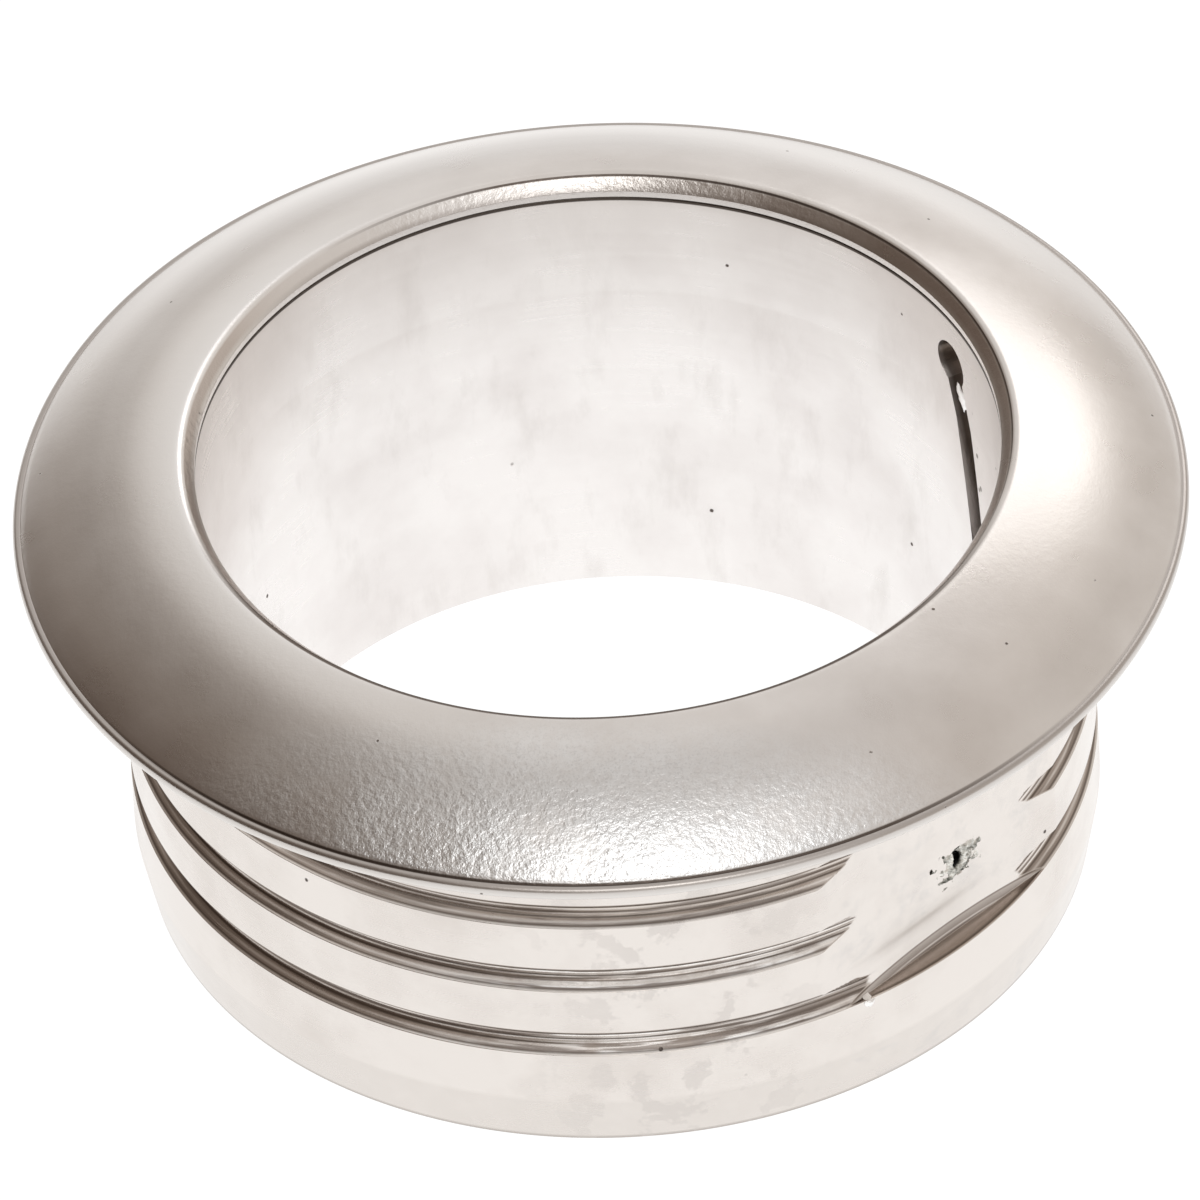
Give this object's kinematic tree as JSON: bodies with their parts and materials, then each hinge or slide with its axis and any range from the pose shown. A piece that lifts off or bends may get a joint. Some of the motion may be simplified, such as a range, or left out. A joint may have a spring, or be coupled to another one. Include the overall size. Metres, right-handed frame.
{
  "type": "thru hull fitting",
  "caption": "Flush metal thru hull fitting: a crowned flange on a grooved barrel, with a chamfered, tapered through bore and a keyhole slot in its wall.",
  "frame": {"origin": "on the bore's axis, in the plane of the flat seat under the flange", "axes": "+Z along the bore axis out of the mouth, away from the hull; -Y is the front, and the barrel's flat faces between -Y and +X"},
  "size_m": [0.0922, 0.0922, 0.0398],
  "materials": {
    "flange_satin": "bead-blasted satin",
    "barrel_polish": "polished",
    "liner_polish": "fine polished",
    "pin_steel": "staked",
    "seal_rubber": "matte"
  },
  "bodies": {
    "root": {"flange_ring": "flange_satin", "barrel": "barrel_polish", "bore_liner": "liner_polish", "locking_pin": "pin_steel", "joint_seal": "seal_rubber"}
  },
  "joints": []
}
